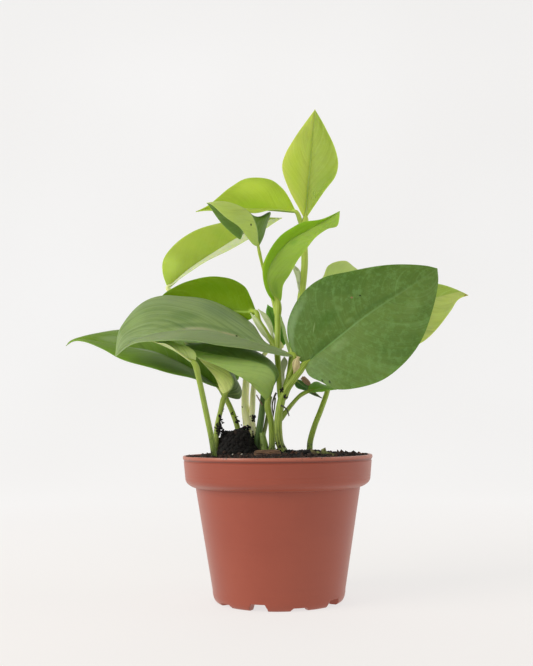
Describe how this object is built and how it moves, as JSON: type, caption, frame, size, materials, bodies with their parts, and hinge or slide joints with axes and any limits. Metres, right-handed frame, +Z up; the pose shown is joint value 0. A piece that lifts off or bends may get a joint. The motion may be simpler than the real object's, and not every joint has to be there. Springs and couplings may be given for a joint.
{
  "type": "potted pothos plant",
  "caption": "Young leafy climbing house plant with broad pointed leaves on bare stalks, standing in soil in a tapered round plastic nursery pot.",
  "frame": {"origin": "centre of the pot's foot, on the ground, on the pot's axis", "axes": "+Z up along the pot's axis; -Y towards the front of the plant; +X to the right as seen from the front"},
  "size_m": [0.2684, 0.1267, 0.3222],
  "materials": {
    "pot": "satin moulded terracotta-coloured plastic",
    "soil": "loose dark peat",
    "bark_chip": "rough bark",
    "leaf_lime": "satin young leaf",
    "leaf_fresh": "satin leaf",
    "leaf_green": "satin leaf",
    "leaf_grey": "satin leaf with a greyish sheen",
    "leaf_deep": "satin mature leaf",
    "leaf_dark": "satin dark leaf",
    "stalk": "smooth green stalk",
    "stalk_pale": "smooth pale stalk",
    "dry_sheath": "dry papery sheath"
  },
  "bodies": {
    "root": {"pot": "pot", "soil": "soil", "bark_chip": "bark_chip", "vine": "stalk", "stalk_pale": "stalk_pale", "stalk_left_front": "stalk", "stalk_left": "stalk", "stalk_left_back": "stalk", "stalk_front": "stalk", "stalk_right": "stalk", "stalk_dark": "leaf_green", "leaf_top": "leaf_lime", "leaf_upper_left": "leaf_lime", "leaf_hooded": "leaf_grey", "leaf_back_left": "leaf_lime", "leaf_middle_left": "leaf_green", "leaf_broad_left": "leaf_grey", "leaf_long_left": "leaf_dark", "leaf_front": "leaf_deep", "leaf_low_front": "leaf_fresh", "leaf_cup": "leaf_green", "leaf_arched": "leaf_fresh", "leaf_big_right": "leaf_deep", "leaf_right_tip": "leaf_lime", "leaf_behind_right": "leaf_fresh", "leaf_small_right": "leaf_fresh", "leaf_small_back": "leaf_green", "leaf_dark_back": "leaf_dark", "dry_sheath_node": "dry_sheath", "dry_sheath_low": "dry_sheath"}
  },
  "joints": []
}
